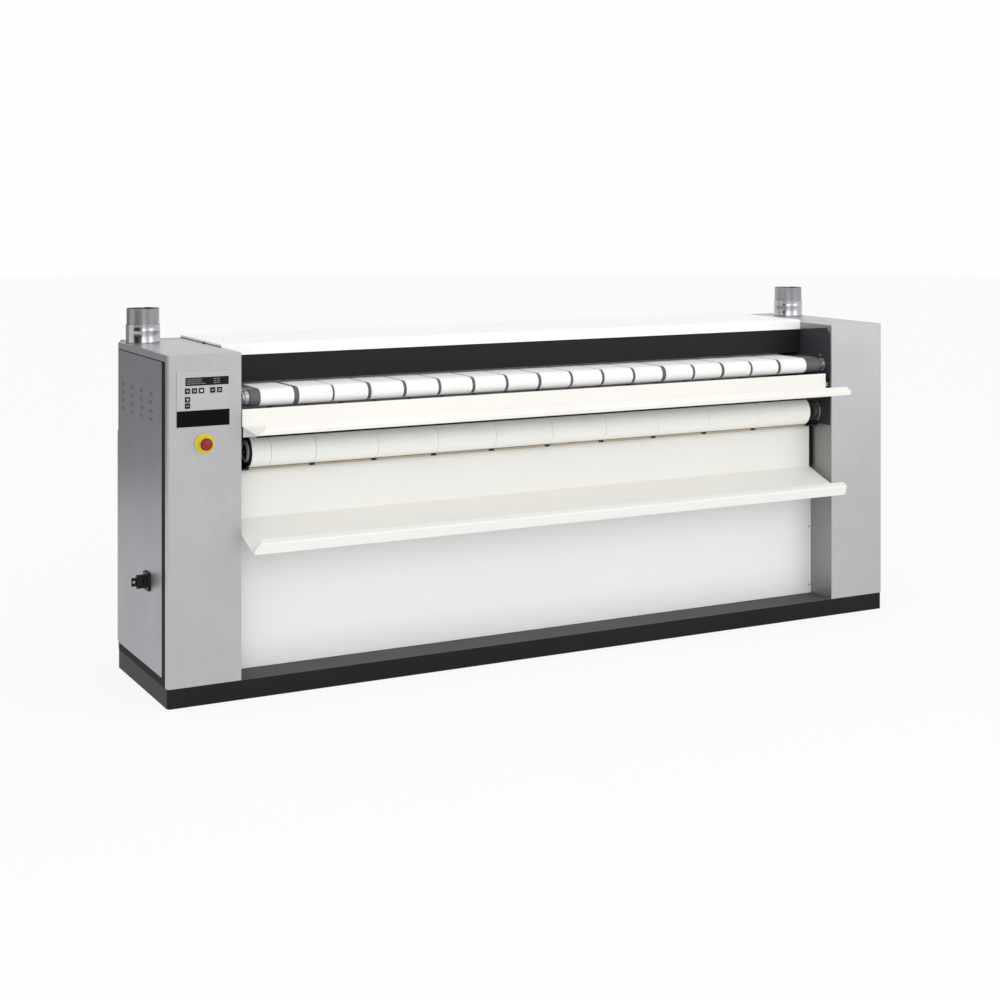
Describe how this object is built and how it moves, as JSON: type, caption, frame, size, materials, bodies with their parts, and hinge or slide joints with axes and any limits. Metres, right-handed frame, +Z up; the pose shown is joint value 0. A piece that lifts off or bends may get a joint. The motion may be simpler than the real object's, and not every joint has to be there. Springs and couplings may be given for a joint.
{
  "type": "flatwork ironer",
  "caption": "Cylinder flatwork ironer with front feed belts, ironing belts, hood, two end columns, trays, control panel, emergency stop and rear flues.",
  "frame": {"origin": "on the floor under the centre of the bounding box", "axes": "+X along the ironing width, from the control column to the drive column; +Y from the feed side to the rear cover; +Z up"},
  "size_m": [3.191, 0.895, 1.345],
  "materials": {
    "plinth_paint": "satin black paint",
    "brushed_stainless": "brushed",
    "dark_painted_steel": "satin dark paint",
    "machined_steel": "machined",
    "white_powder_coat": "white powder coat",
    "lower_panel_coat": "pale grey powder coat",
    "cream_powder_coat": "cream powder coat",
    "cast_iron_paint": "dark painted casting",
    "polished_cylinder_steel": "polished",
    "knurled_rubber": "knurled dark rubber",
    "roller_aluminium": "turned",
    "black_plastic": "matt black",
    "ironing_belt_cloth": "woven felt",
    "feed_belt_cloth": "woven cotton",
    "galvanised_sheet": "bright sheet",
    "display_window": "dark glossy window",
    "yellow_plastic": "satin yellow",
    "red_plastic": "satin red",
    "control_box_grey": "grey powder coat"
  },
  "bodies": {
    "machine": {"base_frame": "plinth_paint", "left_column_cover": "brushed_stainless", "right_column_cover": "brushed_stainless", "left_side_frame": "dark_painted_steel", "right_side_frame": "dark_painted_steel", "left_side_door": "brushed_stainless", "right_side_door": "brushed_stainless", "hood_top": "white_powder_coat", "hood_front_panel": "dark_painted_steel", "lower_front_panel": "lower_panel_coat", "rear_cover": "brushed_stainless", "infeed_tray": "cream_powder_coat", "exit_tray": "cream_powder_coat", "belt_guide_bar": "cast_iron_paint", "burner_tube": "machined_steel", "left_cylinder_bearing": "cast_iron_paint", "right_cylinder_bearing": "cast_iron_paint", "left_front_roller_bearing": "black_plastic", "right_front_roller_bearing": "black_plastic", "ironing_belts": "ironing_belt_cloth", "feed_belts": "feed_belt_cloth", "feed_bed_plate": "galvanised_sheet", "drive_chain": "machined_steel", "feed_drive_chain": "machined_steel", "gearmotor": "cast_iron_paint", "left_fan_housing": "galvanised_sheet", "right_fan_housing": "galvanised_sheet", "left_flue_pipe": "galvanised_sheet", "right_flue_pipe": "galvanised_sheet", "left_flue_sleeve": "galvanised_sheet", "right_flue_sleeve": "galvanised_sheet", "control_panel": "brushed_stainless", "display_window": "display_window", "emergency_stop_collar": "yellow_plastic", "isolator_plate": "black_plastic", "control_box": "control_box_grey"},
    "cylinder": {"heated_cylinder": "polished_cylinder_steel", "cylinder_sprocket": "machined_steel", "feed_drive_sprocket": "machined_steel"},
    "feed_roller": {"feed_front_roller": "knurled_rubber", "feed_roller_sprocket": "machined_steel"},
    "rear_feed_roller": {"feed_rear_roller": "roller_aluminium"},
    "front_ironing_roller": {"ironing_front_roller": "knurled_rubber"},
    "upper_ironing_roller": {"ironing_upper_roller": "roller_aluminium"},
    "back_upper_roller": {"ironing_back_upper_roller": "roller_aluminium"},
    "back_lower_roller": {"ironing_back_lower_roller": "roller_aluminium"},
    "motor_output": {"motor_sprocket": "machined_steel"},
    "left_impeller": {"left_fan_impeller": "machined_steel"},
    "right_impeller": {"right_fan_impeller": "machined_steel"},
    "key_one": {"key_1": "black_plastic"},
    "key_two": {"key_2": "black_plastic"},
    "key_three": {"key_3": "black_plastic"},
    "key_four": {"key_4": "black_plastic"},
    "key_five": {"key_5": "black_plastic"},
    "key_six": {"key_6": "black_plastic"},
    "key_seven": {"key_7": "black_plastic"},
    "stop_button": {"emergency_stop_button": "red_plastic"},
    "isolator": {"isolator_handle": "black_plastic"},
    "left_latch": {"left_door_latch": "machined_steel"},
    "right_latch": {"right_door_latch": "machined_steel"}
  },
  "joints": [
    {"name": "cylinder_turn", "type": "hinge", "parent": "machine", "child": "cylinder", "pos_m": [0.0285, 0.0925, 0.915], "axis": [1, 0, 0], "continuous": true},
    {"name": "feed_roller_turn", "type": "hinge", "parent": "machine", "child": "feed_roller", "pos_m": [0.0285, -0.2375, 1.049], "axis": [1, 0, 0], "continuous": true},
    {"name": "rear_feed_roller_turn", "type": "hinge", "parent": "machine", "child": "rear_feed_roller", "pos_m": [0.0285, -0.0625, 1.059], "axis": [1, 0, 0], "continuous": true},
    {"name": "front_roller_turn", "type": "hinge", "parent": "machine", "child": "front_ironing_roller", "pos_m": [0.0285, -0.1775, 0.85], "axis": [1, 0, 0], "continuous": true},
    {"name": "upper_roller_turn", "type": "hinge", "parent": "machine", "child": "upper_ironing_roller", "pos_m": [0.0285, 0.0095, 1.093], "axis": [1, 0, 0], "continuous": true},
    {"name": "back_upper_roller_turn", "type": "hinge", "parent": "machine", "child": "back_upper_roller", "pos_m": [0.0285, 0.2775, 1.09], "axis": [1, 0, 0], "continuous": true},
    {"name": "back_lower_roller_turn", "type": "hinge", "parent": "machine", "child": "back_lower_roller", "pos_m": [0.0285, 0.2775, 0.72], "axis": [1, 0, 0], "continuous": true},
    {"name": "motor_sprocket_turn", "type": "hinge", "parent": "machine", "child": "motor_output", "pos_m": [0.0285, 0.0025, 0.3], "axis": [1, 0, 0], "continuous": true},
    {"name": "left_fan_turn", "type": "hinge", "parent": "machine", "child": "left_impeller", "pos_m": [0.0285, 0.1952, 0.6], "axis": [1, 0, 0], "continuous": true},
    {"name": "right_fan_turn", "type": "hinge", "parent": "machine", "child": "right_impeller", "pos_m": [0.0285, 0.1952, 0.6], "axis": [1, 0, 0], "continuous": true},
    {"name": "key_1_press", "type": "slide", "parent": "machine", "child": "key_one", "axis": [0, 1, 0], "range_m": [0, 0.001], "stiffness_N_per_m": 800},
    {"name": "key_2_press", "type": "slide", "parent": "machine", "child": "key_two", "axis": [0, 1, 0], "range_m": [0, 0.001], "stiffness_N_per_m": 800},
    {"name": "key_3_press", "type": "slide", "parent": "machine", "child": "key_three", "axis": [0, 1, 0], "range_m": [0, 0.001], "stiffness_N_per_m": 800},
    {"name": "key_4_press", "type": "slide", "parent": "machine", "child": "key_four", "axis": [0, 1, 0], "range_m": [0, 0.001], "stiffness_N_per_m": 800},
    {"name": "key_5_press", "type": "slide", "parent": "machine", "child": "key_five", "axis": [0, 1, 0], "range_m": [0, 0.001], "stiffness_N_per_m": 800},
    {"name": "key_6_press", "type": "slide", "parent": "machine", "child": "key_six", "axis": [0, 1, 0], "range_m": [0, 0.001], "stiffness_N_per_m": 800},
    {"name": "key_7_press", "type": "slide", "parent": "machine", "child": "key_seven", "axis": [0, 1, 0], "range_m": [0, 0.001], "stiffness_N_per_m": 800},
    {"name": "emergency_stop_press", "type": "slide", "parent": "machine", "child": "stop_button", "axis": [0, 1, 0], "range_m": [0, 0.006], "stiffness_N_per_m": 2000},
    {"name": "isolator_turn", "type": "hinge", "parent": "machine", "child": "isolator", "pos_m": [-1.5365, -0.063, 0.398], "axis": [1, 0, 0], "range_deg": [0, 90]},
    {"name": "left_latch_turn", "type": "hinge", "parent": "machine", "child": "left_latch", "pos_m": [-1.5365, 0.0785, 1.1757], "axis": [1, 0, 0], "range_deg": [0, 90]},
    {"name": "right_latch_turn", "type": "hinge", "parent": "machine", "child": "right_latch", "pos_m": [1.5935, 0.0785, 1.1757], "axis": [1, 0, 0], "range_deg": [0, 90]}
  ],
  "couplings": [
    {"joint": "feed_roller_turn", "follows": "cylinder_turn", "ratio": 5.5},
    {"joint": "rear_feed_roller_turn", "follows": "cylinder_turn", "ratio": 8.454},
    {"joint": "front_roller_turn", "follows": "cylinder_turn", "ratio": -2.907},
    {"joint": "upper_roller_turn", "follows": "cylinder_turn", "ratio": -5.54},
    {"joint": "back_upper_roller_turn", "follows": "cylinder_turn", "ratio": -5.54},
    {"joint": "back_lower_roller_turn", "follows": "cylinder_turn", "ratio": -5.54},
    {"joint": "motor_sprocket_turn", "follows": "cylinder_turn", "ratio": 2.5333}
  ]
}
